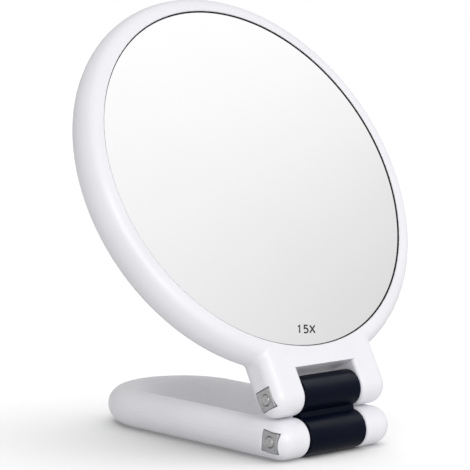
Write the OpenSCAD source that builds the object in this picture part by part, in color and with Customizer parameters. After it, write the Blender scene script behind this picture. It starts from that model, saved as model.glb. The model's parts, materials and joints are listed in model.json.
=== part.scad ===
// Folding magnifying hand mirror: a round head with a glass on each side, a double-barrel
// friction hinge, and a looped handle that lies on the table as a foot.
// Millimetres. +Z is up, the magnifying glass faces -Y, and the handle lies along +Y.
// The origin is the middle of the footprint, on the table.

/* [Glasses] */
// Diameter of both glass discs
glass_d = 140; // [130:1:150]
// Thickness of each glass disc
glass_t = 2; // [1.8:0.1:2.4]
// Depth of the hollow in the magnifying glass
dish_depth = 5.5; // [4.5:0.1:6]
// How far each glass lies below the lip round it
glass_recess = 0.9; // [0.7:0.1:1.2]
// Thickness of the foam under the glass, where it is thinnest
pad_t = 1.1; // [0.9:0.1:1.3]
// Thickness of the foam edge between a glass and the lip
pad_edge_t = 0.3; // [0.25:0.05:0.5]
// How far the foam edge stands above the glass
pad_edge_rise = 0.35; // [0.1:0.05:0.5]
// How far the foam stands back from a ledge's inner edge
pad_inset = 1; // [0.5:0.1:1.5]

/* [Head] */
// Thickness of the head
head_t = 14.5; // [14.2:0.1:15]
// Width of the rim outside the glass
rim_w = 7.6; // [7:0.1:8.2]
// Radius of the rim's outer side
rim_side_r = 10; // [9:0.5:12]
// Radius of the rim's shoulders
rim_shoulder_r = 4.6; // [4:0.1:5.5]
// Chamfer on the lip's inner edge
lip_chamfer = 0.3; // [0.2:0.05:0.5]
// Width of the ledge that carries a glass
ledge_w = 8; // [7:0.5:9]
// Thickness of the ledges
ledge_t = 1.6; // [1.3:0.1:1.8]
// Width of the rear bezel's rim
bezel_rim_w = 2.65; // [2.4:0.05:3]
// Gap round the rear bezel
bezel_gap = 0.1; // [0.05:0.05:0.2]
// Width of the step outside the groove under the bezel
bezel_step = 1.4; // [1:0.1:1.6]
// Thickness of the wall inside that groove
groove_wall = 2.2; // [1.8:0.1:2.6]
// Lean of the head, back from upright
head_lean = 28.9; // [20:0.1:40]

/* [Ears] */
// Distance from the upper axle to the glass's edge
neck_h = 16.3; // [16:0.1:22]
// How far the neck runs up into the rim, past the glass's recess
neck_merge = 1.5; // [1:0.1:2]
// Width of one ear
ear_w = 14.3; // [13.5:0.1:15]
// Rounding of the ears' outer corners
ear_round = 5; // [4:0.5:6.5]
// Rounding of the ears' and the arms' inner edges
cheek_edge = 1.6; // [0.4:0.1:1.7]

/* [Hinge block] */
// Radius of the upper barrel
upper_barrel_r = 6.9; // [6.5:0.05:7.2]
// Gap between the lower barrel and the table
table_gap = 0.05; // [0.02:0.01:0.3]
// Length of the barrels
barrel_len = 28.9; // [27:0.1:31]
// Rounding of the barrels' end edges
barrel_edge = 0.6; // [0.3:0.1:0.8]
// Thickness of the web between the barrels
web_t = 4.4; // [3:0.1:6]
// Gap between a barrel's end and the ear beside it
barrel_end_gap = 0.15; // [0.1:0.05:0.3]
// Gap between the upper barrel and the neck above it
ceiling_gap = 1.75; // [1.2:0.05:2.2]
// Lean of the hinge block, back from upright
block_lean = 10.4; // [8:0.1:16]
// Gap between the ears and the arms under them
fold_gap = 0.5; // [0.3:0.05:0.7]

/* [Axles] */
// Diameter of the axle screws
axle_d = 4; // [3.6:0.1:4.4]
// Radial clearance between an axle screw and its sleeve
axle_play = 0.06; // [0.02:0.01:0.1]
// Radial clearance between an axle screw and the ears
axle_hole_gap = 0.1; // [0.05:0.05:0.2]
// Wall of the steel sleeves
sleeve_wall = 0.95; // [0.8:0.05:1.2]
// Radius of the friction washers
washer_r = 5.5; // [5:0.1:6]
// Thickness of the friction washers
washer_t = 0.5; // [0.4:0.05:0.8]
// Width of the square nuts across their flats
nut_s = 7.6; // [7:0.1:8]
// Thickness of the square nuts
nut_t = 3; // [2.6:0.1:3.2]
// Gap between a nut and its pocket, all round
nut_gap = 0.2; // [0.1:0.05:0.3]
// How far the upper nut lies below the ear's side
upper_nut_sink = 0.2; // [0.1:0.1:1]
// How far the lower nut lies below the arm's side
lower_nut_sink = 0.7; // [0.4:0.1:1.4]
// Turn of the lower nut about its axle
lower_nut_turn = 6; // [0:1:15]
// How far a screw's end stands out of its nut
screw_proud = 0.3; // [0:0.1:0.6]
// Radius of the screw heads
screw_head_r = 3.7; // [3.4:0.1:4]
// Height of the screw heads
screw_head_t = 2.3; // [2:0.1:2.6]
// Radius of the hex sockets in the screw heads, across the corners
socket_r = 1.5; // [1.3:0.1:1.7]
// Depth of the hex sockets
socket_depth = 1.4; // [1:0.1:1.6]
// Gap round a screw head in its pocket
head_pocket_gap = 0.5; // [0.3:0.1:0.8]
// Depth of the screw heads' pockets
head_pocket_t = 3.6; // [3.4:0.1:4]
// Thickness of the spring washers
spring_t = 0.9; // [0.7:0.1:1]
// Width of the split in the spring washers
spring_split = 0.6; // [0.4:0.1:0.8]

/* [Handle] */
// Width of the handle's bar
arm_w = 15.2; // [14.9:0.1:16]
// Height of the handle's hinge cheeks
arm_h = 14.8; // [14.4:0.1:15.2]
// Height of the handle's bar beyond them
bar_h = 14.1; // [14.1:0.1:14.8]
// Rounding of the bar
arm_round = 7; // [6.5:0.1:7]
// Length of the arms, from the lower axle to the start of the bend
arm_len = 81; // [70:1:95]
// Depth of the flat that the handle stands on
foot_flat = 0.05; // [0.05:0.05:0.2]
// Half width of the channel inside the bar
channel_half_w = 3.8; // [3.4:0.1:4]
// Height of the channel's crown above the bar's middle
channel_crown = 4.2; // [3.6:0.1:4.6]
// Solid length between the blend of a cheek and the channel
channel_inset = 2; // [1:0.5:4]
// Depth of the cover's seat, from the bar's lower side
cover_seat = 2.5; // [2.2:0.1:2.8]
// Width of the ledge on each side that the cover rests on
cover_ledge = 1; // [0.8:0.1:1.2]
// Gap round the bottom cover
cover_gap = 0.05; // [0.05:0.05:0.15]
// Distance from the lower axle to the end of the solid hinge cheeks
cheek_len = 9; // [8:0.5:11]
// Length over which a cheek blends into the round bar
cheek_blend = 8; // [6:1:10]

/* [Small screws] */
// Diameter of the small screws
small_d = 1.8; // [1.6:0.1:2]
// Diameter of their heads
small_head_d = 3.8; // [3.4:0.1:4]
// Height of their heads
small_head_t = 1; // [0.8:0.1:1.1]
// Clearance round the small screws
small_gap = 0.15; // [0.1:0.05:0.2]
// Diameter of the bosses they bite into
boss_d = 4.6; // [4.2:0.1:5]
// Length of the bezel screws
bezel_screw_l = 3.6; // [3.2:0.1:3.8]
// Length of the cross slots in the small heads
cross_l = 2.2; // [1.8:0.1:2.6]
// Width of the cross slots
cross_w = 0.5; // [0.4:0.1:0.7]
// Depth of the cross slots
cross_depth = 0.5; // [0.4:0.1:0.6]
// Length of the cover screws
cover_screw_l = 6.5; // [5:0.5:7]
// How far the cover screws lie above the table
cover_screw_sink = 0.35; // [0.2:0.05:0.5]
// Distance of the cover screws from the ends of the arms' channels
cover_screw_inset = 7; // [5:0.5:9]
// Count of the bezel screws
bezel_screws_n = 6; // [4:1:8]

/* [Hidden] */
$fn = 96;

// Cuts run this far past the faces they open
past = 1;
// Bosses run this far into the wall above them
boss_bury = 0.6;
// Screw holes run this far past the screws' ends
pilot_past = 0.3;
// Thickness of a slice in a blend
slice = 0.01;
white = [0.93, 0.93, 0.95];
black = [0.08, 0.08, 0.1];
steel = [0.66, 0.66, 0.65];
foam = [0.12, 0.12, 0.13];
silver = [0.8, 0.82, 0.84];

// Head, measured along its own axis: 0 is its middle plane, positive is the magnifying side
head_half = head_t / 2;
glass_r = glass_d / 2;
head_r = glass_r + rim_w;
recess_r = glass_r + pad_edge_t;
glass_face = head_half - glass_recess;
dish_r = (glass_r * glass_r + dish_depth * dish_depth) / (2 * dish_depth);
ledge_in = glass_r - ledge_w;
pad_in = ledge_in + pad_inset;
front_ledge = dish_face(pad_in) - glass_t - pad_t;
rear_ledge = -(glass_face - glass_t - pad_t);
bezel_floor = rear_ledge + ledge_t;
bezel_r = recess_r + bezel_rim_w;
groove_out = bezel_r - bezel_step;
groove_in = ledge_in + groove_wall;
bezel_screw_r = recess_r - boss_d / 2;

// Cheeks: the ears on the head and the hinge ends of the arms share their inner faces
cheek_in = barrel_len / 2 + barrel_end_gap;
ear_out = cheek_in + ear_w;
opening_h = upper_barrel_r + ceiling_gap;
centre_h = neck_h + glass_r;
neck_top = centre_h - sqrt(pow(recess_r + neck_merge, 2) - pow(ear_out - ear_round, 2));

// Handle, measured from the lower axle
arm_half = arm_h / 2;
bar_drop = (arm_h - bar_h) / 2;
arm_mid = cheek_in + arm_w / 2;
arm_out = cheek_in + arm_w;
axle_height = arm_half - foot_flat;
channel_start = cheek_len + cheek_blend + channel_inset;
handle_reach = arm_len + arm_mid + arm_w / 2;
cover_half_w = channel_half_w + cover_ledge;
cover_seat_z = cover_seat - arm_half;
cover_screw_z = cover_screw_sink - axle_height;

// The two axles and the barrels round them
axle_r = axle_d / 2;
sleeve_out = axle_r + axle_play + sleeve_wall;
axle_spacing = (head_half + arm_half + fold_gap) / cos(block_lean);
mid_y = (handle_reach - arm_half) / 2;
lower_axle = [0, -mid_y, axle_height];
upper_axle = lower_axle + axle_spacing * [0, sin(block_lean), cos(block_lean)];
washer_in = cheek_in - washer_t;
barrel_r = axle_height - table_gap;

// Points of an arc round (x, y)
function arc(x, y, r, from, to, steps = 8) =
    [for (i = [0:steps]) let (a = from + (to - from) * i / steps) [x + r * cos(a), y + r * sin(a)]];

// Height of the magnifying glass's face at a distance from its centre
function dish_face(r) = glass_face - dish_depth + dish_r - sqrt(dish_r * dish_r - r * r);

// Upper half of a cheek's section, from its flat inner side to its round outer side
function cheek_half(from, to, half, round_in, round_out) = concat(
    [[from, 0]],
    arc(from + round_in, half - round_in, round_in, 180, 90),
    arc(to - round_out, half - round_out, round_out, 90, 0),
    [[to, 0]]);

function flip_y(points) = [for (i = [len(points) - 1:-1:0]) [points[i][0], -points[i][1]]];
function whole(points) = concat(points, flip_y(points));

ear_half = cheek_half(cheek_in, ear_out, head_half, cheek_edge, ear_round);
arm_end_half = cheek_half(cheek_in, arm_out, arm_half, cheek_edge, arm_round);
bar_half = cheek_half(cheek_in, arm_out, bar_h / 2, arm_round, arm_round);

// Section of the rim: flat lips, tight shoulders and a wide round side
shoulder_tilt = asin((head_half - rim_shoulder_r) / (rim_side_r - rim_shoulder_r));
side_r0 = head_r - rim_side_r;
shoulder_r0 = side_r0 + (rim_side_r - rim_shoulder_r) * cos(shoulder_tilt);
rim_half = concat(
    [[ledge_in, 0], [ledge_in, head_half]],
    arc(shoulder_r0, head_half - rim_shoulder_r, rim_shoulder_r, 90, shoulder_tilt),
    arc(side_r0, 0, rim_side_r, shoulder_tilt, 0));

// Places its children in the head: the upper axle along X, up the mirror along Z, front to -Y
module in_head() {
    translate(upper_axle) rotate([-head_lean, 0, 0]) children();
}

// Places its children in the hinge block: the lower axle along X, the upper one above it
module in_block() {
    translate(lower_axle) rotate([-block_lean, 0, 0]) children();
}

module in_handle() {
    translate(lower_axle) children();
}

// Turns a section of radius and height round the head's own axis
module head_turn() {
    translate([0, 0, centre_h]) rotate([90, 0, 0]) rotate_extrude($fn = 180) children();
}

// Repeats its children at the bezel screws
module at_bezel_screws() {
    for (i = [0:bezel_screws_n - 1])
        translate([0, 0, centre_h]) rotate([90, 0, 0]) rotate((i + 0.5) * 360 / bezel_screws_n)
            translate([bezel_screw_r, 0, 0]) children();
}

// A round bar along X
module rod(r, from, to) {
    translate([from, 0, 0]) rotate([0, 90, 0]) cylinder(r = r, h = to - from);
}

// A cheek that stands up from its axle, with a domed end round the axle
module cheek(half, height) {
    linear_extrude(height) polygon(whole(half));
    rotate([0, 90, 0]) rotate(-90) rotate_extrude(angle = 180)
        polygon([for (p = half) [p[1], p[0]]]);
}

// What an axle takes out of a pair of cheeks: the hole, the nut's pocket and the head's pocket
module axle_cut(outer, sink, turn) {
    pocket = nut_s + 2 * nut_gap;
    rod(axle_r + axle_hole_gap, -outer - past, outer + past);
    rod(screw_head_r + head_pocket_gap, outer - head_pocket_t, outer + past);
    rotate([turn, 0, 0]) translate([-outer - past, -pocket / 2, -pocket / 2])
        cube([past + sink + nut_t, pocket, pocket]);
}

module axle_screw(outer, sink) {
    head_from = outer - head_pocket_t + spring_t;
    difference() {
        union() {
            rod(axle_r, sink - outer - screw_proud, head_from);
            rod(screw_head_r, head_from, head_from + screw_head_t);
        }
        translate([head_from + screw_head_t - socket_depth, 0, 0]) rotate([0, 90, 0])
            cylinder(r = socket_r, h = socket_depth + past, $fn = 6);
    }
}

module axle_nut(outer, sink, turn) {
    rotate([turn, 0, 0]) translate([sink - outer, 0, 0]) difference() {
        translate([0, -nut_s / 2, -nut_s / 2]) cube([nut_t, nut_s, nut_s]);
        rod(axle_r, -past, nut_t + past);
    }
}

// A split ring under the screw head
module spring_washer(outer) {
    floor_x = outer - head_pocket_t;
    difference() {
        rod(screw_head_r, floor_x, floor_x + spring_t);
        rod(axle_r + axle_hole_gap, floor_x - past, floor_x + spring_t + past);
        translate([floor_x - past, -spring_split / 2, 0])
            cube([spring_t + 2 * past, spring_split, screw_head_r + past]);
    }
}

module friction_washers() {
    for (side = [0, 1]) mirror([side, 0, 0]) difference() {
        rod(washer_r, washer_in, cheek_in);
        rod(axle_r + axle_hole_gap, washer_in - past, cheek_in + past);
    }
}

module sleeve() {
    difference() {
        rod(sleeve_out, -washer_in, washer_in);
        rod(axle_r + axle_play, -washer_in - past, washer_in + past);
    }
}

// A small countersunk screw that points up, with its head's flat side at 0
module small_screw(length) {
    difference() {
        union() {
            cylinder(d1 = small_head_d, d2 = small_d, h = small_head_t);
            cylinder(d = small_d, h = length);
        }
        for (turn = [0, 90]) rotate(turn) translate([-cross_l / 2, -cross_w / 2, -past])
            cube([cross_l, cross_w, past + cross_depth]);
    }
}

// The hole for a small screw through a cover, sunk below the surface
module small_screw_hole(sink, through) {
    translate([0, 0, -sink - past]) cylinder(d = small_head_d + 2 * small_gap, h = sink + past);
    cylinder(d1 = small_head_d + 2 * small_gap, d2 = small_d + 2 * small_gap, h = small_head_t);
    cylinder(d = small_d + 2 * small_gap, h = through);
}

// Ring, neck and ears, moulded in one: it holds both glasses and turns on the upper axle
module head_frame() {
    color(white) in_head() {
        difference() {
            union() {
                head_turn() polygon(concat(flip_y(rim_half), rim_half));
                for (side = [0, 1]) mirror([side, 0, 0]) {
                    cheek(ear_half, opening_h);
                    translate([0, 0, opening_h]) linear_extrude(neck_top - opening_h)
                        polygon(whole(cheek_half(-past, ear_out, head_half, 0, ear_round)));
                }
            }
            head_turn() polygon([
                [0, front_ledge], [recess_r, front_ledge], [recess_r, head_half - lip_chamfer],
                [recess_r + lip_chamfer, head_half], [recess_r + lip_chamfer, head_half + past],
                [0, head_half + past]]);
            head_turn() polygon([
                [0, bezel_floor], [bezel_r + bezel_gap, bezel_floor],
                [bezel_r + bezel_gap, -head_half - past], [0, -head_half - past]]);
            head_turn() translate([groove_in, bezel_floor - past])
                square([groove_out - groove_in, front_ledge - ledge_t - bezel_floor + past]);
            head_turn() translate([0, bezel_floor - past]) square([ledge_in, head_t]);
            axle_cut(ear_out, upper_nut_sink, 0);
        }
        at_bezel_screws() difference() {
            translate([0, 0, bezel_floor]) cylinder(d = boss_d, h = front_ledge - ledge_t - bezel_floor);
            translate([0, 0, bezel_floor - past])
                cylinder(d = small_d, h = rear_ledge + bezel_screw_l + pilot_past - bezel_floor + past);
        }
    }
}

// Ring that closes the head from behind and holds the plain glass
module rear_bezel() {
    color(white) in_head() difference() {
        head_turn() intersection() {
            polygon(concat(flip_y(rim_half), rim_half));
            translate([0, -head_half]) square([bezel_r, head_half + bezel_floor]);
        }
        head_turn() polygon([
            [0, rear_ledge], [recess_r, rear_ledge], [recess_r, lip_chamfer - head_half],
            [recess_r + lip_chamfer, -head_half], [recess_r + lip_chamfer, -head_half - past],
            [0, -head_half - past]]);
        at_bezel_screws() translate([0, 0, rear_ledge]) small_screw_hole(0, ledge_t + past);
    }
}

module bezel_screws() {
    color(steel) in_head() at_bezel_screws() translate([0, 0, rear_ledge]) small_screw(bezel_screw_l);
}

// Dished glass, silvered, hollow side to the front
module magnifying_glass() {
    steps = 24;
    face = [for (i = [0:steps]) [glass_r * i / steps, dish_face(glass_r * i / steps)]];
    back = [for (i = [steps:-1:0]) [face[i][0], face[i][1] - glass_t]];
    color(silver) in_head() head_turn() polygon(concat(face, back));
}

// Black foam under and round the magnifying glass
module front_pad() {
    steps = 6;
    under = [for (i = [0:steps]) let (r = pad_in + (glass_r - pad_in) * i / steps)
        [r, dish_face(r) - glass_t]];
    color(foam) in_head() head_turn() polygon(concat(
        [[recess_r, front_ledge], [pad_in, front_ledge]], under,
        [[glass_r, glass_face + pad_edge_rise], [recess_r, glass_face + pad_edge_rise]]));
}

module plain_glass() {
    color(silver) in_head() head_turn() translate([0, -glass_face]) square([glass_r, glass_t]);
}

// Black foam under and round the plain glass
module rear_pad() {
    color(foam) in_head() head_turn() polygon([
        [pad_in, rear_ledge], [recess_r, rear_ledge], [recess_r, -glass_face - pad_edge_rise],
        [glass_r, -glass_face - pad_edge_rise], [glass_r, glass_t - glass_face],
        [pad_in, glass_t - glass_face]]);
}

// A barrel along X with rounded end edges
module barrel(r) {
    end = barrel_len / 2;
    rotate([0, 90, 0]) rotate_extrude() polygon(concat(
        [[0, -end]],
        arc(r - barrel_edge, barrel_edge - end, barrel_edge, -90, 0),
        arc(r - barrel_edge, end - barrel_edge, barrel_edge, 0, 90),
        [[0, end]]));
}

// Black block with a barrel for each axle
module hinge_block() {
    web_l = barrel_len - 2 * barrel_edge;
    color(black) in_block() difference() {
        union() {
            barrel(barrel_r);
            translate([0, 0, axle_spacing]) barrel(upper_barrel_r);
            translate([-web_l / 2, -web_t / 2, 0]) cube([web_l, web_t, axle_spacing]);
        }
        for (z = [0, axle_spacing]) translate([0, 0, z]) {
            rod(sleeve_out, -barrel_len, barrel_len);
            for (side = [0, 1]) mirror([side, 0, 0])
                rod(washer_r + small_gap, washer_in, barrel_len);
        }
    }
}

module upper_sleeve() { color(steel) in_block() translate([0, 0, axle_spacing]) sleeve(); }
module lower_sleeve() { color(steel) in_block() sleeve(); }

module upper_friction_washers() { color(foam) in_block() translate([0, 0, axle_spacing]) friction_washers(); }
module lower_friction_washers() { color(foam) in_block() friction_washers(); }

module upper_axle_screw() { color(steel) in_head() axle_screw(ear_out, upper_nut_sink); }
module lower_axle_screw() { color(steel) in_handle() axle_screw(arm_out, lower_nut_sink); }

module upper_spring_washer() { color(steel) in_head() spring_washer(ear_out); }
module lower_spring_washer() { color(steel) in_handle() spring_washer(arm_out); }

module upper_nut() { color(steel) in_head() axle_nut(ear_out, upper_nut_sink, 0); }
module lower_nut() { color(steel) in_handle() axle_nut(arm_out, lower_nut_sink, lower_nut_turn); }

// Sweeps a section, drawn round the bar's middle, along both arms and round the bend
module handle_sweep(from) {
    for (side = [-1, 1]) translate([side * arm_mid, arm_len, 0]) rotate([90, 0, 0])
        linear_extrude(arm_len - from) children();
    translate([0, arm_len, 0]) rotate_extrude(angle = 180, $fn = 120) translate([arm_mid, 0]) children();
}

// Repeats its children at the cover screws, at the height of the lower axle
module at_cover_screws() {
    for (side = [-1, 1], y = [channel_start + cover_screw_inset, arm_len - cover_screw_inset])
        translate([side * arm_mid, y, 0]) children();
    translate([0, arm_len + arm_mid, 0]) children();
}

module bar_section() { translate([-arm_mid, -bar_drop]) polygon(whole(bar_half)); }

module channel_section() {
    crown_r = channel_half_w;
    translate([-channel_half_w, -arm_half]) square([2 * channel_half_w, arm_half + channel_crown - crown_r]);
    translate([0, channel_crown - crown_r]) circle(crown_r);
    translate([-cover_half_w, -arm_half]) square([2 * cover_half_w, cover_seat]);
}

module cover_section() {
    intersection() {
        bar_section();
        translate([cover_gap - cover_half_w, -axle_height])
            square([2 * (cover_half_w - cover_gap), cover_seat - foot_flat]);
    }
}

// A thin slice of an arm, drawn upright, for the blend from cheek to bar
module arm_slice(half, y, drop) {
    translate([0, y, -drop]) rotate([-90, 0, 0]) linear_extrude(slice) polygon(whole(half));
}

// Looped bar with solid hinge cheeks, hollow from below beyond them
module handle_body() {
    color(white) in_handle() {
        difference() {
            union() {
                handle_sweep(cheek_len + cheek_blend) bar_section();
                for (side = [0, 1]) mirror([side, 0, 0]) {
                    rotate([-90, 0, 0]) cheek(arm_end_half, cheek_len);
                    hull() {
                        arm_slice(arm_end_half, cheek_len - slice, 0);
                        arm_slice(bar_half, cheek_len + cheek_blend - slice, bar_drop);
                    }
                }
            }
            handle_sweep(channel_start) channel_section();
            axle_cut(arm_out, lower_nut_sink, lower_nut_turn);
            translate([-arm_out - past, -arm_half - past, -axle_height - past])
                cube([2 * (arm_out + past), handle_reach + arm_half + 2 * past, past]);
        }
        at_cover_screws() difference() {
            translate([0, 0, cover_seat_z]) cylinder(d = boss_d, h = channel_crown + boss_bury - cover_seat_z);
            translate([0, 0, cover_seat_z - past])
                cylinder(d = small_d, h = cover_screw_z + cover_screw_l + pilot_past - cover_seat_z + past);
        }
    }
}

// Strip that closes the channel from below; its flat underside is the foot
module handle_cover() {
    color(white) in_handle() difference() {
        handle_sweep(channel_start + cover_gap) cover_section();
        at_cover_screws() translate([0, 0, cover_screw_z]) small_screw_hole(cover_screw_sink, cover_seat + past);
    }
}

module cover_screws() {
    color(steel) in_handle() at_cover_screws() translate([0, 0, cover_screw_z]) small_screw(cover_screw_l);
}

head_frame();
rear_bezel();
bezel_screws();
magnifying_glass();
front_pad();
plain_glass();
rear_pad();
hinge_block();
upper_sleeve();
lower_sleeve();
upper_friction_washers();
lower_friction_washers();
upper_axle_screw();
lower_axle_screw();
upper_spring_washer();
lower_spring_washer();
upper_nut();
lower_nut();
handle_body();
handle_cover();
cover_screws();
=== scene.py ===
import math

import bmesh
import bpy
from mathutils import Matrix, Vector
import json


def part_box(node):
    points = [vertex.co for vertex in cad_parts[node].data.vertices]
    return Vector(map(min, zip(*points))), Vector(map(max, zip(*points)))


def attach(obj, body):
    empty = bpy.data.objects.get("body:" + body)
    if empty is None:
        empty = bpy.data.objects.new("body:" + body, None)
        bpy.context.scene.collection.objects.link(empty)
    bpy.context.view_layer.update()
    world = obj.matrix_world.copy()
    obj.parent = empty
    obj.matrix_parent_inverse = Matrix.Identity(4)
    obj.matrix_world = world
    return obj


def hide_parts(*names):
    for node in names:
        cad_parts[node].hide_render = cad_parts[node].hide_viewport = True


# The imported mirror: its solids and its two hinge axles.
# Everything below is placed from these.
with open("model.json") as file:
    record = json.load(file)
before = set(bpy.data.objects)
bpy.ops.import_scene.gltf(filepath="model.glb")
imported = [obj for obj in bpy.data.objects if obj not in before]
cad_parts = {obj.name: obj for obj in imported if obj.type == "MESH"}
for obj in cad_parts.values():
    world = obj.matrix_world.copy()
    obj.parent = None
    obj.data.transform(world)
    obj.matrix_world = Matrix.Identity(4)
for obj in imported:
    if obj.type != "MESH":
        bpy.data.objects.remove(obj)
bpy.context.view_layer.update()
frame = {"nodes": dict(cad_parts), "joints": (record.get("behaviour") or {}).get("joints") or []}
cad_nodes = frame["nodes"]
hinges = {joint["name"]: Vector(joint["pos_m"]) for joint in frame["joints"]}
lower_axle = hinges["lower_hinge"]
upper_axle = hinges["upper_hinge"]
mm = 0.001

# The camera stands low, in front of the mirror and to its left, with a long lens. The picture is
# steered by where the lower axle's middle appears in it.
view_turn = math.radians(-42.52)
view_height = math.radians(6.40)
view_roll = math.radians(0.38)
view_distance = 0.859
photo_px = 470
focal_px = 2300
axle_px = Vector((325.9, 432.2))
film_width = 36
far_clip = 20

toward_camera = Vector((
    math.sin(view_turn) * math.cos(view_height),
    -math.cos(view_turn) * math.cos(view_height),
    math.sin(view_height),
))
level = Vector((0, 0, 1)).cross(toward_camera).normalized()
rise = toward_camera.cross(level)
picture_right = math.cos(view_roll) * level + math.sin(view_roll) * rise
picture_up = math.cos(view_roll) * rise - math.sin(view_roll) * level
off_centre = (axle_px - Vector((photo_px / 2, photo_px / 2))) * view_distance / focal_px
eye = lower_axle + view_distance * toward_camera
eye += off_centre.y * picture_up - off_centre.x * picture_right

camera = bpy.data.objects.new("camera", bpy.data.cameras.new("camera"))
camera.data.sensor_width = film_width
camera.data.lens = film_width * focal_px / photo_px
camera.data.clip_end = far_clip
camera.matrix_world = Matrix.Translation(eye) @ Matrix(
    (picture_right, picture_up, toward_camera)).transposed().to_4x4()
bpy.context.scene.collection.objects.link(camera)
bpy.context.scene.camera = camera

# The studio: a white sweep all round, lit softly from above. The camera sees it as plain white. What
# gleams sees it fade to grey on one side, as the glass does in the photo.
sky_from = Vector((0.18, 0.25, 0.95)).normalized()
fade_from = Vector((0.35, -0.48, -0.81)).normalized()
studio = bpy.data.worlds.new("studio")
studio.use_nodes = True
bpy.context.scene.world = studio
bpy.context.scene.view_settings.view_transform = "Standard"


def add_node(tree, kind, **settings):
    """Adds a shader node of a kind to a tree, and sets what is named."""
    node = tree.nodes.new("ShaderNode" + kind)
    for name, value in settings.items():
        setattr(node, name, value)
    return node


def work_out(tree, kind, first, second, held=False):
    """The sum, product or other result of two numbers, each a socket or a plain number."""
    work = add_node(tree, "Math", operation=kind, use_clamp=held)
    for place, value in enumerate((first, second)):
        if isinstance(value, (int, float)):
            work.inputs[place].default_value = value
        else:
            tree.links.new(value, work.inputs[place])
    return work.outputs[0]


def ramp(tree, value, low, high, to_low=0.0, to_high=1.0, kind="LINEAR"):
    """A number carried from one range to another, and held inside it."""
    fade = add_node(tree, "MapRange", interpolation_type=kind)
    for label, limit in zip(("From Min", "From Max", "To Min", "To Max"), (low, high, to_low, to_high)):
        fade.inputs[label].default_value = limit
    tree.links.new(value, fade.inputs["Value"])
    return fade.outputs["Result"]


def studio_fade(direction, low, high, dark, bright, kind):
    """Light that grows from dark to bright across the studio, toward a direction."""
    tree = studio.node_tree
    along = add_node(tree, "VectorMath", operation="DOT_PRODUCT")
    along.inputs[1].default_value = direction
    tree.links.new(add_node(tree, "TexCoord").outputs["Generated"], along.inputs[0])
    return ramp(tree, along.outputs["Value"], low, high, dark, bright, kind)


def choose(tree, when, otherwise, then):
    """Passes on the number then where when is 1, and otherwise elsewhere."""
    pick = add_node(tree, "Mix")
    tree.links.new(when, pick.inputs["Factor"])
    for label, value in (("A", otherwise), ("B", then)):
        if isinstance(value, (int, float)):
            pick.inputs[label].default_value = value
        else:
            tree.links.new(value, pick.inputs[label])
    return pick.outputs["Result"]


ray = add_node(studio.node_tree, "LightPath")
soft_light = studio_fade(sky_from, low=-1.0, high=1.0, dark=0.13, bright=0.83, kind="LINEAR")
gleam = studio_fade(fade_from, low=-0.36, high=0.17, dark=0.55, bright=1.02, kind="SMOOTHSTEP")
seen = choose(studio.node_tree, ray.outputs["Is Glossy Ray"], soft_light, gleam)
seen = choose(studio.node_tree, ray.outputs["Is Camera Ray"], seen, 1.0)
background = studio.node_tree.nodes["Background"]
background.inputs["Color"].default_value = (1, 1, 1, 1)
studio.node_tree.links.new(seen, background.inputs["Strength"])


# A wide lamp stands far off in front of the mirror and shapes the ring and ears. It is kept off the
# table, so that it throws no shadow on the sweep behind.
def far_lamp(name, lit_from, spread, strength):
    """A lamp so far off that it lights everything alike. spread is how wide it looks, in degrees."""
    lamp = bpy.data.objects.new(name, bpy.data.lights.new(name, "SUN"))
    lamp.data.angle = math.radians(spread)
    lamp.data.energy = strength
    lamp.matrix_world = lit_from.to_track_quat("Z", "Y").to_matrix().to_4x4()
    bpy.context.scene.collection.objects.link(lamp)
    return lamp


front_lamp = far_lamp("front_lamp", lit_from=Vector((-0.31, -0.85, 0.42)), spread=36, strength=1.5)

# The table: a pale matt sheet that runs out of sight. The camera sees it paler than it is, so that it
# meets the white sweep and keeps only the mirror's shadow. A wide lamp of its own, from above and the
# right, lays that shadow along the left of the handle.
table_half = 4.0
table_white_seen = 0.64
table_white = 0.21
# table_glow is painted light: an even glow from the sheet that lights the mirror from below.
table_glow = 0.36
table_matt = 0.9
table_mesh = bpy.data.meshes.new("table")
table_mesh.from_pydata(
    [(x, y, 0) for x, y in ((-1, -1), (1, -1), (1, 1), (-1, 1))], [], [(0, 1, 2, 3)])
table_mesh.transform(Matrix.Scale(table_half, 4))
table = bpy.data.objects.new("table", table_mesh)
bpy.context.scene.collection.objects.link(table)
table_only = bpy.data.collections.new("table only")
table_only.objects.link(table)
table_lamp = far_lamp("table_lamp", lit_from=Vector((0.45, 0.05, 0.70)), spread=120, strength=3.8)
table_lamp.light_linking.receiver_collection = table_only
off_table = bpy.data.collections.new("off the table")
off_table.objects.link(table)
off_table.collection_objects[0].light_linking.link_state = "EXCLUDE"
front_lamp.light_linking.receiver_collection = off_table
table_finish = bpy.data.materials.new("pale table")
table_finish.use_nodes = True
table_mesh.materials.append(table_finish)
table_tree = table_finish.node_tree
sheet = table_tree.nodes["Principled BSDF"]
sheet.inputs["Roughness"].default_value = table_matt
sheet.inputs["Specular IOR Level"].default_value = 0.0
sheet.inputs["Emission Color"].default_value = (1, 1, 1, 1)
table_ray = add_node(table_tree, "LightPath").outputs["Is Camera Ray"]
table_shade = choose(table_tree, table_ray, table_white, table_white_seen)
table_tree.links.new(table_shade, sheet.inputs["Base Color"])
# Painted light: for all rays but the camera's the sheet glows evenly, standing in for the light that a
# white table throws up under the mirror.
table_tree.links.new(choose(table_tree, table_ray, table_glow, 0.0), sheet.inputs["Emission Strength"])


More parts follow.
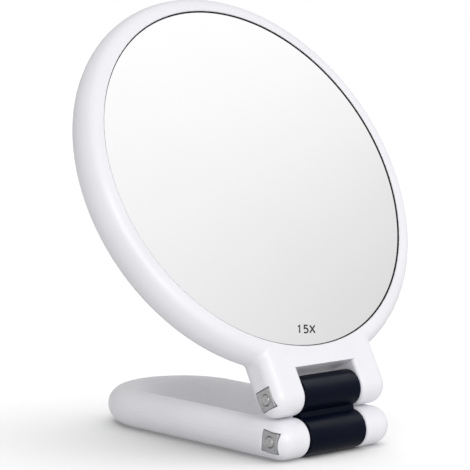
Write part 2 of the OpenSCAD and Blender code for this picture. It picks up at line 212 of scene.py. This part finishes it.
# The handle: one looped bar, moulded in white plastic with a fine satin grain, hollow from below. Its
# two ends carry the lower axle, and it lies on the table behind the mirror as its foot.
def new_effect(name, amounts, results):
    """Starts a shader node group. amounts are its numbers with their usual values, and results are its
    outputs with their kinds."""
    effect = bpy.data.node_groups.new(name, "ShaderNodeTree")
    for label, usual in amounts.items():
        socket = effect.interface.new_socket(label, in_out="INPUT", socket_type="NodeSocketFloat")
        socket.default_value = usual
    for label, kind in results.items():
        effect.interface.new_socket(label, in_out="OUTPUT", socket_type="NodeSocket" + kind)
    taken_in = effect.nodes.new("NodeGroupInput").outputs
    given_out = effect.nodes.new("NodeGroupOutput").inputs
    return effect, taken_in, given_out


def clouds(tree, spot, per_metre, detail=2.0, twist=0.0):
    """Soft noise at a number of spots per metre, a socket or a plain number."""
    noise = add_node(tree, "TexNoise")
    noise.inputs["Detail"].default_value = detail
    noise.inputs["Distortion"].default_value = twist
    tree.links.new(spot, noise.inputs["Vector"])
    if isinstance(per_metre, (int, float)):
        noise.inputs["Scale"].default_value = per_metre
    else:
        tree.links.new(per_metre, noise.inputs["Scale"])
    return noise.outputs["Fac"]


# The grain that a mould leaves: fine spark-eroded pits over slow waves where the plastic has shrunk.
grain, grain_amounts, grain_results = new_effect(
    "moulded grain", {"Pits per metre": 2600.0, "Waves per metre": 70.0, "Share of waves": 0.5},
    {"Height": "Float"})
grain_spot = add_node(grain, "TexCoord").outputs["Object"]
pits = clouds(grain, grain_spot, grain_amounts["Pits per metre"])
waves = clouds(grain, grain_spot, grain_amounts["Waves per metre"], detail=0.0)
wave_part = work_out(grain, "MULTIPLY", waves, grain_amounts["Share of waves"])
grain.links.new(work_out(grain, "ADD", pits, wave_part), grain_results["Height"])

# Marks of handling: broad patches where fingers have left the surface a little duller.
handling, handling_amounts, handling_results = new_effect(
    "handling marks", {"Marks per metre": 38.0}, {"Marks": "Float"})
handling_spot = add_node(handling, "TexCoord").outputs["Object"]
patches = clouds(handling, handling_spot, handling_amounts["Marks per metre"], detail=4.0, twist=0.6)
handling.links.new(ramp(handling, patches, 0.46, 0.72), handling_results["Marks"])

# Edges: each is broken by a small radius, and rubbed where hands and cloths reach it first.
edges, edges_amounts, edges_results = new_effect(
    "rubbed edges", {"Radius": 0.0004, "Rub": 3.0}, {"Rubbed": "Float", "Normal": "Vector"})
rounded = add_node(edges, "Bevel", samples=6)
edges.links.new(edges_amounts["Radius"], rounded.inputs["Radius"])
flat_on = add_node(edges, "NewGeometry").outputs["Normal"]
alike = add_node(edges, "VectorMath", operation="DOT_PRODUCT")
edges.links.new(rounded.outputs["Normal"], alike.inputs[0])
edges.links.new(flat_on, alike.inputs[1])
turned_away = work_out(edges, "SUBTRACT", 1.0, alike.outputs["Value"], held=True)
rub = work_out(edges, "MULTIPLY", turned_away, edges_amounts["Rub"])
broken_up = clouds(edges, add_node(edges, "TexCoord").outputs["Object"], 420.0, detail=3.0)
rub_patch = ramp(edges, broken_up, 0.35, 0.6)
edges.links.new(work_out(edges, "MULTIPLY", rub, rub_patch, held=True), edges_results["Rubbed"])
edges.links.new(rounded.outputs["Normal"], edges_results["Normal"])


def place_effect(tree, effect, **amounts):
    """Places an effect in a material with its own amounts, and returns its outputs."""
    placed = add_node(tree, "Group", node_tree=effect)
    for label, value in amounts.items():
        placed.inputs[label.replace("_", " ")].default_value = value
    return placed.outputs


def blend_colours(tree, share, plain, other):
    """A colour that goes from plain to other by a share from 0 to 1. Each is a colour or a socket."""
    mix = add_node(tree, "Mix", data_type="RGBA")
    tree.links.new(share, mix.inputs["Factor"])
    for place, colour in ((6, plain), (7, other)):
        if isinstance(colour, tuple):
            mix.inputs[place].default_value = (*colour, 1)
        else:
            tree.links.new(colour, mix.inputs[place])
    return mix.outputs[2]


def raised(tree, height, depth, strength, over=None):
    """A normal that follows a height, depth metres from its lowest to its highest."""
    bump = add_node(tree, "Bump")
    bump.inputs["Strength"].default_value = strength
    bump.inputs["Distance"].default_value = depth
    tree.links.new(height, bump.inputs["Height"])
    if over is not None:
        tree.links.new(over, bump.inputs["Normal"])
    return bump.outputs["Normal"]


def moulded_plastic(name, body, marked, rubbed, gloss, marks_per_metre, pits_per_metre, pit_depth,
                    edge_radius=0.35 * mm, shine=0.5):
    """Injection-moulded plastic. gloss is its roughness where it is clean and where it is marked."""
    finish = bpy.data.materials.new(name)
    finish.use_nodes = True
    tree = finish.node_tree
    shader = tree.nodes["Principled BSDF"]
    skin = place_effect(tree, grain, Pits_per_metre=pits_per_metre)
    touched = place_effect(tree, handling, Marks_per_metre=marks_per_metre)
    shader.inputs["Specular IOR Level"].default_value = shine
    edge = place_effect(tree, edges, Radius=edge_radius, Rub=1.6)
    colour = blend_colours(tree, touched["Marks"], body, marked)
    colour = blend_colours(tree, edge["Rubbed"], colour, rubbed)
    tree.links.new(colour, shader.inputs["Base Color"])
    tree.links.new(ramp(tree, touched["Marks"], 0.0, 1.0, *gloss), shader.inputs["Roughness"])
    pitted = raised(tree, skin["Height"], pit_depth, 0.6, edge["Normal"])
    tree.links.new(pitted, shader.inputs["Normal"])
    return finish


white_moulding = {
    "body": (0.83, 0.825, 0.865), "marked": (0.80, 0.795, 0.835), "rubbed": (0.87, 0.87, 0.89),
    "gloss": (0.34, 0.44), "marks_per_metre": 34.0, "pits_per_metre": 2600.0, "pit_depth": 0.012 * mm,
}
white_plastic = moulded_plastic("white moulded plastic", **white_moulding)


def dress(node, finish):
    """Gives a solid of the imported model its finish."""
    cad_nodes[node].data.materials.clear()
    cad_nodes[node].data.materials.append(finish)


dress("handle_body", white_plastic)

# The handle's cover: a white strip that closes the bar's channel from below. Its flat underside is what
# the mirror stands on, so it is duller than the bar.
foot_plastic = moulded_plastic(
    "white foot plastic", body=(0.81, 0.805, 0.835), marked=(0.74, 0.735, 0.755),
    rubbed=(0.70, 0.70, 0.71), gloss=(0.42, 0.60), marks_per_metre=120.0, pits_per_metre=2600.0,
    pit_depth=0.02 * mm)
dress("handle_cover", foot_plastic)


# The cover's screws: five small countersunk screws of zinc-plated steel, with cross slots. They are
# sunk a little below the cover's flat, so that the mirror never stands on them.
def plated_steel(name, body, tint, gloss, lines_per_metre, line_depth):
    """Zinc-plated steel: fine drawing lines, a faint tint that drifts, and edges rubbed bright."""
    finish = bpy.data.materials.new(name)
    finish.use_nodes = True
    tree = finish.node_tree
    shader = tree.nodes["Principled BSDF"]
    shader.inputs["Metallic"].default_value = 1.0
    touched = place_effect(tree, handling, Marks_per_metre=260.0)
    edge = place_effect(tree, edges, Radius=0.12 * mm, Rub=2.5)
    spot = add_node(tree, "TexCoord").outputs["Object"]
    stretch = add_node(tree, "Mapping")
    stretch.inputs["Scale"].default_value = (1.0, 0.06, 1.0)
    tree.links.new(spot, stretch.inputs["Vector"])
    lines = clouds(tree, stretch.outputs["Vector"], lines_per_metre, detail=3.0)
    colour = blend_colours(tree, touched["Marks"], body, tint)
    colour = blend_colours(tree, edge["Rubbed"], colour, (0.86, 0.86, 0.84))
    tree.links.new(colour, shader.inputs["Base Color"])
    tree.links.new(ramp(tree, lines, 0.3, 0.7, *gloss), shader.inputs["Roughness"])
    scored = raised(tree, lines, line_depth, 0.5, edge["Normal"])
    tree.links.new(scored, shader.inputs["Normal"])
    return finish


zinc_steel = plated_steel(
    "zinc-plated steel", body=(0.56, 0.56, 0.55), tint=(0.47, 0.48, 0.50), gloss=(0.30, 0.48),
    lines_per_metre=5200.0, line_depth=0.03 * mm)
dress("cover_screws", zinc_steel)


# The lower axle: a steel screw from the right, through the arms and the block, into a square nut that
# is trapped in the left arm. A split washer under its head keeps the hinge stiff.
def ring(reach, height, steps=96):
    """Points round Z at a height. reach is the distance from Z, or gives it for an angle."""
    points = []
    for step in range(steps):
        angle = 2 * math.pi * step / steps
        away = reach(angle) if callable(reach) else reach
        points.append(Vector((away * math.cos(angle), away * math.sin(angle), height)))
    return points


def lofted(name, rings, ends="closed", crease=35.0):
    """A mesh skinned over rings of points, one after the other. A ring of one point closes an end, and
    ends is closed, to fill an open end, or joined, to run from the last ring to the first."""
    mesh = bmesh.new()
    rows = [[mesh.verts.new(point) for point in points] for points in rings]
    pairs = list(zip(rows, rows[1:]))
    if ends == "joined":
        pairs.append((rows[-1], rows[0]))
    elif ends == "closed":
        for row in (rows[0], rows[-1]):
            if len(row) > 1:
                mesh.faces.new(row)
    for near, far in pairs:
        count = max(len(near), len(far))
        for step in range(count):
            after = (step + 1) % count
            near_edge = [near[step % len(near)], near[after % len(near)]]
            far_edge = [far[after % len(far)], far[step % len(far)]]
            mesh.faces.new(dict.fromkeys(near_edge + far_edge))
    bmesh.ops.recalc_face_normals(mesh, faces=mesh.faces)
    data = bpy.data.meshes.new(name)
    mesh.to_mesh(data)
    mesh.free()
    data.shade_smooth()
    data.set_sharp_from_angle(angle=math.radians(crease))
    return data


def add_piece(name, data, finish, place, body, slot, *stands_for):
    """Puts a piece in its place on its body, with its finish, for the solids that it stands for."""
    piece = bpy.data.objects.new(name, data)
    data.materials.append(finish)
    bpy.context.scene.collection.objects.link(piece)
    piece.matrix_world = place
    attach(piece, body)
    if stands_for:
        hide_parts(*stands_for)
    return piece


def on_axle(axle, turn):
    """The place of an axle's pieces: their Z runs out to the left, where the nut is."""
    turned = Matrix.Rotation(turn, 4, "X") @ Matrix.Rotation(math.radians(-90), 4, "Y")
    return Matrix.Translation(axle) @ turned


def many_sided(sides, half, blunt=math.inf):
    """The reach of an outline with flat sides, one corner along X. No corner reaches past blunt."""
    def reach(angle):
        off_middle = angle % (2 * math.pi / sides) - math.pi / sides
        return min(half / math.cos(off_middle), blunt)
    return reach


def threaded(radius, pitch, depth, height):
    """The reach of a screw thread at a height."""
    def reach(angle):
        turn = (height / pitch - angle / (2 * math.pi)) % 1
        return radius - depth * abs(2 * turn - 1)
    return reach


axle_r = 2 * mm
head_r = 3.7 * mm
head_t = 2.3 * mm
head_edge = 0.35 * mm
socket_flats = 1.3 * mm
socket_mouth_r = 1.62 * mm
socket_depth = 1.4 * mm
spring_in_r = 2.3 * mm
spring_t = 0.9 * mm
head_pocket = 3.6 * mm
thread_pitch = 0.7 * mm
thread_depth = 0.42 * mm
dimple_r = 0.55 * mm
dimple_depth = 0.45 * mm
end_flat_r = 1.45 * mm
end_edge_r = 1.60 * mm


def axle_screw(name, side, end):
    """A screw with a round head and a hex socket. side is where its ear or arm ends, end is its own."""
    under_head = head_pocket - side - spring_t
    top = under_head - head_t
    hexagon = many_sided(6, socket_flats)
    dimple_wall = ring(0.42 * mm, end - 0.12 * mm)
    rings = [[Vector((0, 0, end - dimple_depth))], dimple_wall, ring(dimple_r, end)]
    rings += [ring(end_flat_r, end), ring(end_edge_r, end - 0.10 * mm)]
    turns = 14
    turn_slices = 8
    for step in range(turns * turn_slices):
        height = end - 0.2 * mm - thread_pitch * step / turn_slices
        rings.append(ring(threaded(axle_r, thread_pitch, thread_depth, height), height))
    rings += [ring(axle_r, height - 0.3 * mm), ring(axle_r, under_head + 0.1 * mm)]
    rings += [ring(axle_r + 0.1 * mm, under_head), ring(head_r, under_head)]
    rings += [ring(head_r, top + head_edge), ring(head_r - 0.1 * mm, top + 0.1 * mm)]
    rings += [ring(head_r - head_edge, top), ring(socket_mouth_r, top)]
    rings += [ring(hexagon, top + 0.12 * mm), ring(hexagon, top + socket_depth)]
    rings.append([Vector((0, 0, top + socket_depth + 0.3 * mm))])
    return lofted(name, rings)


nut_half = 3.8 * mm
nut_edge = 0.22 * mm
nut_corner = 5.2 * mm
nut_bore_r = 1.9 * mm
nut_mouth_r = 2.45 * mm
nut_mouth_depth = 0.5 * mm


def square_nut(name, inside, outside):
    """A square nut cut from bar, with the mouth of its bore eased. inside and outside are its ends."""
    square = many_sided(4, nut_half, nut_corner)
    eased = many_sided(4, nut_half - nut_edge, nut_corner - 0.3 * mm)
    rings = [ring(nut_bore_r, inside), ring(eased, inside), ring(square, inside + nut_edge)]
    rings += [ring(square, outside - nut_edge), ring(eased, outside)]
    rings += [ring(nut_mouth_r, outside), ring(nut_bore_r, outside - nut_mouth_depth)]
    return lofted(name, rings, ends="joined")


def split_washer(name, side, steps=72):
    """A ring of square wire, cut through and twisted a little, under a screw's head."""
    floor = head_pocket - side
    twist = 0.1 * mm
    gap = math.radians(9)
    rings = []
    for step in range(steps + 1):
        share = step / steps
        angle = gap / 2 + (2 * math.pi - gap) * share
        low = floor - spring_t + twist * share
        high = low + spring_t - twist
        section = [(spring_in_r, low), (head_r, low), (head_r, high), (spring_in_r, high)]
        out = Vector((math.cos(angle), math.sin(angle), 0))
        rings.append([away * out + Vector((0, 0, up)) for away, up in section])
    return lofted(name, rings)


stamped_steel = plated_steel(
    "stamped zinc steel", body=(0.52, 0.52, 0.53), tint=(0.40, 0.41, 0.43), gloss=(0.34, 0.52),
    lines_per_metre=2600.0, line_depth=0.10 * mm)
arm_out = 29.8 * mm
lower_screw_end = 29.4 * mm
lower_nut_span = (26.1 * mm, 29.1 * mm)
lower_nut_turn = math.radians(6)
on_lower_axle = on_axle(lower_axle, lower_nut_turn)
corner_up = Matrix.Rotation(math.radians(45), 4, "Z")
add_piece("lower_screw", axle_screw("lower_screw", arm_out, lower_screw_end), zinc_steel, on_lower_axle,
          "handle", "zinc_steel", "lower_axle_screw")
add_piece("lower_square_nut", square_nut("lower_square_nut", *lower_nut_span), stamped_steel,
          on_lower_axle @ corner_up, "handle", "zinc_steel", "lower_nut")
add_piece("lower_split_washer", split_washer("lower_split_washer", arm_out), zinc_steel, on_lower_axle,
          "handle", "zinc_steel", "lower_spring_washer")

# The hinge block: one black plastic moulding with a barrel for each axle and a web between them. It is
# smoother than the white parts. A lamp of its own gives its barrels their soft gleam.
black_plastic = moulded_plastic(
    "black moulded plastic", body=(0.0016, 0.0030, 0.0100), marked=(0.0026, 0.0040, 0.0115),
    rubbed=(0.016, 0.017, 0.024), gloss=(0.34, 0.42), marks_per_metre=60.0, pits_per_metre=3000.0,
    pit_depth=0.012 * mm, shine=0.05)
dress("hinge_block", black_plastic)
block_only = bpy.data.collections.new("block only")
block_only.objects.link(cad_nodes["hinge_block"])
block_lamp = far_lamp("block_lamp", lit_from=Vector((0.66, 0.12, 0.72)), spread=70, strength=2.6)
block_lamp.light_linking.receiver_collection = block_only

# Sleeves and friction washers: each axle turns in a sleeve of drawn steel inside its barrel. A washer
# of dark nylon lies between each end of the barrel and the ear or arm beside it, and rubs there.
for node in ("upper_sleeve", "lower_sleeve"):
    dress(node, zinc_steel)
dark_nylon = moulded_plastic(
    "dark nylon", body=(0.035, 0.035, 0.038), marked=(0.045, 0.045, 0.047),
    rubbed=(0.09, 0.09, 0.09), gloss=(0.45, 0.55), marks_per_metre=200.0, pits_per_metre=4000.0,
    pit_depth=0.01 * mm)
for node in ("upper_friction_washers", "lower_friction_washers"):
    dress(node, dark_nylon)

# The head: ring, neck and two ears in one moulding of the same white plastic. It holds the magnifying
# glass in front and, through the bezel, the plain glass behind.
dress("head_frame", white_plastic)


# The neck's fillets: on each side the head's moulding is filled out with a small round fillet, where
# the neck runs into the ring. It is the same plastic, with no joint to be seen.
head_lean = math.radians(28.9)
on_upper_axle = Matrix.Translation(upper_axle) @ Matrix.Rotation(-head_lean, 4, "X")
head_up = on_upper_axle.to_3x3() @ Vector((0, 0, 1))
plain_low, plain_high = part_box("plain_glass")
glass_r = (plain_high.x - plain_low.x) / 2
centre_h = ((plain_low + plain_high) / 2 - upper_axle).dot(head_up)
head_half = 7.25 * mm
rim_side_r = 10 * mm
rim_shoulder_r = 4.6 * mm
rim_w = 7.6 * mm
ear_round = 5 * mm
ear_out = 28.9 * mm
fillet_r = 1.8 * mm
fillet_bury = 0.4 * mm
side_r0 = glass_r + rim_w - rim_side_r
shoulder_tilt = math.asin((head_half - rim_shoulder_r) / (rim_side_r - rim_shoulder_r))
shoulder_r0 = side_r0 + (rim_side_r - rim_shoulder_r) * math.cos(shoulder_tilt)


def rim_reach(height):
    """The ring's outer radius at a distance from its middle plane."""
    if abs(height) <= rim_side_r * math.sin(shoulder_tilt):
        return side_r0 + math.sqrt(rim_side_r ** 2 - height ** 2)
    past_middle = abs(height) - head_half + rim_shoulder_r
    return shoulder_r0 + math.sqrt(max(0, rim_shoulder_r ** 2 - past_middle ** 2))


def neck_reach(height):
    """The neck's half width at a distance from its middle plane."""
    past_flat = max(0, abs(height) - head_half + ear_round)
    return ear_out - ear_round + math.sqrt(ear_round ** 2 - past_flat ** 2)


def fillet_slice(side, height, arc_steps=10):
    """One slice of a fillet, across the head: an arc between neck and rim, with its back sunk in."""
    rim = rim_reach(height)
    neck = neck_reach(height)
    middle = Vector((neck + fillet_r, -math.sqrt((rim + fillet_r) ** 2 - (neck + fillet_r) ** 2)))
    start = math.pi
    end = math.atan2(-middle.y, -middle.x)
    outline = [Vector((neck - fillet_bury, middle.y))]
    for step in range(arc_steps + 1):
        angle = start + (end - start) * step / arc_steps
        outline.append(middle + fillet_r * Vector((math.cos(angle), math.sin(angle))))
    inner = rim - fillet_bury
    outline.append(outline[-1] * inner / rim)
    outline.append(Vector((neck - fillet_bury, -math.sqrt(inner ** 2 - (neck - fillet_bury) ** 2))))
    return [Vector((side * point.x, -height, centre_h + point.y)) for point in outline]


blended_plastic = moulded_plastic("white blended plastic", **white_moulding, edge_radius=0.0)
fillet_half = head_half - 0.002 * mm
slices = 24
for side, name in ((-1, "neck_fillet_left"), (1, "neck_fillet_right")):
    heights = [fillet_half * math.sin(math.pi * (step / slices - 0.5)) for step in range(slices + 1)]
    fillet = lofted(name, [fillet_slice(side, height) for height in heights])
    add_piece(name, fillet, blended_plastic, on_upper_axle, "head", "white_plastic")


# The magnifying glass: silvered glass with a shallow hollow in front and a polished edge, pressed into
# a bed of foam. The foam's near-black is painted shade: it shows as a thin dark line round the glass,
# for the shadowed gap there.
def silvered_glass(name, smear):
    """Mirror glass with faint smears. smear is its roughness where it is clean and where smeared."""
    finish = bpy.data.materials.new(name)
    finish.use_nodes = True
    tree = finish.node_tree
    shader = tree.nodes["Principled BSDF"]
    shader.inputs["Metallic"].default_value = 1.0
    touched = place_effect(tree, handling, Marks_per_metre=22.0)
    colour = blend_colours(tree, touched["Marks"], (0.985, 0.99, 0.985), (0.975, 0.98, 0.975))
    tree.links.new(colour, shader.inputs["Base Color"])
    tree.links.new(ramp(tree, touched["Marks"], 0.0, 1.0, *smear), shader.inputs["Roughness"])
    return finish


mirror_glass = silvered_glass("silvered glass", smear=(0.012, 0.03))
glass_thick = 2 * mm
glass_face = 6.35 * mm
dish_depth = 5.5 * mm
polished = 0.25 * mm
round_steps = 240
dish_r = (glass_r ** 2 + dish_depth ** 2) / (2 * dish_depth)
on_glass = Matrix.Translation(upper_axle + centre_h * head_up) @ Matrix.Rotation(
    math.radians(90) - head_lean, 4, "X")


def dish_face(radius):
    """Height of the magnifying glass's face at a distance from its centre."""
    return glass_face - dish_depth + dish_r - math.sqrt(dish_r ** 2 - radius ** 2)


def glass_disc(name, face, steps=60):
    """A glass disc with polished edges. face gives the height of its front at a radius."""
    radii = [(glass_r - polished) * step / steps for step in range(steps + 1)]
    rings = [[Vector((0, 0, face(0)))]]
    rings += [ring(radius, face(radius), round_steps) for radius in radii[1:]]
    rings.append(ring(glass_r, face(glass_r) - polished, round_steps))
    rings.append(ring(glass_r, face(glass_r) - glass_thick + polished, round_steps))
    rings += [ring(radius, face(radius) - glass_thick, round_steps) for radius in reversed(radii[1:])]
    rings.append([Vector((0, 0, face(0) - glass_thick))])
    return lofted(name, rings)


add_piece("magnifying_glass_disc", glass_disc("magnifying_glass_disc", dish_face), mirror_glass,
          on_glass, "head", "mirror_glass", "magnifying_glass")

# The glass's power: a plain number and a cross in thin strokes of black ink, printed low on its face.
# The ink follows the hollow of the glass.
sharpest_mitre = 0.6


def stroke(points, width, low, high):
    """The ink of one stroke along a line of points: a flat strip, mitred at its corners."""
    rows = []
    for place, point in enumerate(points):
        ways = []
        if place > 0:
            ways.append((point - points[place - 1]).normalized())
        if place < len(points) - 1:
            ways.append((points[place + 1] - point).normalized())
        way = sum(ways, Vector((0, 0))).normalized()
        across = Vector((-way.y, way.x)) * width / 2 / max(sharpest_mitre, way.dot(ways[0]))
        left = point + across
        right = point - across
        corners = ((left, low), (right, low), (right, high), (left, high))
        rows.append([Vector((*corner, height)) for corner, height in corners])
    return rows


def inked(name, lines, width, rise):
    """All the strokes of a mark in one mesh, each a shade higher than the last, so that none share a
    face."""
    marks = bmesh.new()
    for count, line in enumerate(lines):
        one = lofted(name, stroke(line, width, -rise, rise * (1 + 0.15 * count)))
        marks.from_mesh(one)
        bpy.data.meshes.remove(one)
    data = bpy.data.meshes.new(name)
    marks.to_mesh(data)
    marks.free()
    return data


ink_width = 0.70 * mm
ink_rise = 0.02 * mm
cap_h = 3.5 * mm
five_mid = Vector((4.15, 1.12)) * mm
five_bowl = []
for step in range(12):
    around = math.radians(128 - 24 * step)
    five_bowl.append(five_mid + 1.1 * mm * Vector((math.cos(around), math.sin(around))))
power_mark = [
    [Vector((0.3, 2.8)) * mm, Vector((1.15 * mm, cap_h)), Vector((1.15, 0)) * mm],
    [Vector((5.1 * mm, cap_h)), Vector((3.5 * mm, cap_h)), *five_bowl],
    [Vector((6.2, 0)) * mm, Vector((8.6 * mm, cap_h))],
    [Vector((8.75, 0)) * mm, Vector((6.2 * mm, cap_h))],
]
mark_middle = Vector((-1.62, -63.14)) * mm
mark_along = Vector((0.994, -0.110))
mark_up = Vector((0.503, 0.864))
mark_size = Vector((9.0 * mm, cap_h))
mark_start = mark_middle - mark_along * mark_size.x / 2 - mark_up * mark_size.y / 2
power_ink = inked("power_mark", power_mark, ink_width, ink_rise)
for vertex in power_ink.vertices:
    spot = mark_start + mark_along * vertex.co.x + mark_up * vertex.co.y
    vertex.co = (*spot, dish_face(spot.length) + vertex.co.z)
black_ink = bpy.data.materials.new("black printing ink")
black_ink.use_nodes = True
ink_tree = black_ink.node_tree
ink_shader = ink_tree.nodes["Principled BSDF"]
ink_spot = add_node(ink_tree, "TexCoord").outputs["Object"]
ink_cover = clouds(ink_tree, ink_spot, 3500.0, detail=3.0)
ink_share = ramp(ink_tree, ink_cover, 0.4, 0.7)
ink_colour = blend_colours(ink_tree, ink_share, (0.012, 0.012, 0.013), (0.03, 0.03, 0.032))
ink_tree.links.new(ink_colour, ink_shader.inputs["Base Color"])
ink_tree.links.new(ramp(ink_tree, ink_cover, 0.3, 0.7, 0.35, 0.55), ink_shader.inputs["Roughness"])
ink_tree.links.new(raised(ink_tree, ink_cover, 0.01 * mm, 0.5), ink_shader.inputs["Normal"])
add_piece("power_mark", power_ink, black_ink, on_glass, "head", "black_plastic")

# The foam: rings cut from sheet with fine closed cells. One lies under and round each glass, so
# that the glass can't rattle. Its near-black colour is painted shade: the thin dark line that it
# makes round the glass stands in for the shadowed gap there.
gap_shade_foam = bpy.data.materials.new("foam painted as gap shade")
gap_shade_foam.use_nodes = True
foam_tree = gap_shade_foam.node_tree
foam_shader = foam_tree.nodes["Principled BSDF"]
foam_shader.inputs["Specular IOR Level"].default_value = 0.2
foam_cells = add_node(foam_tree, "TexVoronoi")
foam_cells.inputs["Scale"].default_value = 4200.0
foam_tree.links.new(add_node(foam_tree, "TexCoord").outputs["Object"], foam_cells.inputs["Vector"])
cell = ramp(foam_tree, foam_cells.outputs["Distance"], 0.0, 0.8)
# Painted shade: the foam's near-black colour stands in for the shadow in the gap round the glass.
foam_shade_colour = blend_colours(foam_tree, cell, (0.006, 0.006, 0.007), (0.018, 0.018, 0.02))
foam_tree.links.new(foam_shade_colour, foam_shader.inputs["Base Color"])
foam_tree.links.new(ramp(foam_tree, cell, 0.0, 1.0, 0.95, 0.8), foam_shader.inputs["Roughness"])
foam_tree.links.new(raised(foam_tree, cell, 0.08 * mm, 0.7), foam_shader.inputs["Normal"])
for node in ("front_pad", "rear_pad"):
    dress(node, gap_shade_foam)

# The bezel and the plain glass: a white ring closes the head from behind, held by six small screws that
# the flat glass hides. The glass is silvered and polished like the other.
dress("rear_bezel", white_plastic)
dress("bezel_screws", zinc_steel)
on_back = Matrix.Translation((plain_low + plain_high) / 2) @ Matrix.Rotation(
    math.radians(90) - head_lean, 4, "X")


def flat_face(radius):
    """Height of the plain glass's face, which is the same at every radius."""
    return glass_thick / 2


add_piece("plain_glass_disc", glass_disc("plain_glass_disc", flat_face), mirror_glass, on_back,
          "head", "mirror_glass", "plain_glass")

# The upper axle: the same steel screw, square nut and split washer as below. They are held in the
# head's ears, so the whole set turns with the head.
upper_screw_end = 29.0 * mm
upper_nut_span = (25.7 * mm, 28.7 * mm)
in_ears = on_axle(upper_axle, -head_lean)
add_piece("upper_screw", axle_screw("upper_screw", ear_out, upper_screw_end), zinc_steel, in_ears,
          "head", "zinc_steel", "upper_axle_screw")
add_piece("upper_square_nut", square_nut("upper_square_nut", *upper_nut_span), stamped_steel,
          in_ears @ corner_up, "head", "zinc_steel", "upper_nut")
add_piece("upper_split_washer", split_washer("upper_split_washer", ear_out), zinc_steel, in_ears,
          "head", "zinc_steel", "upper_spring_washer")
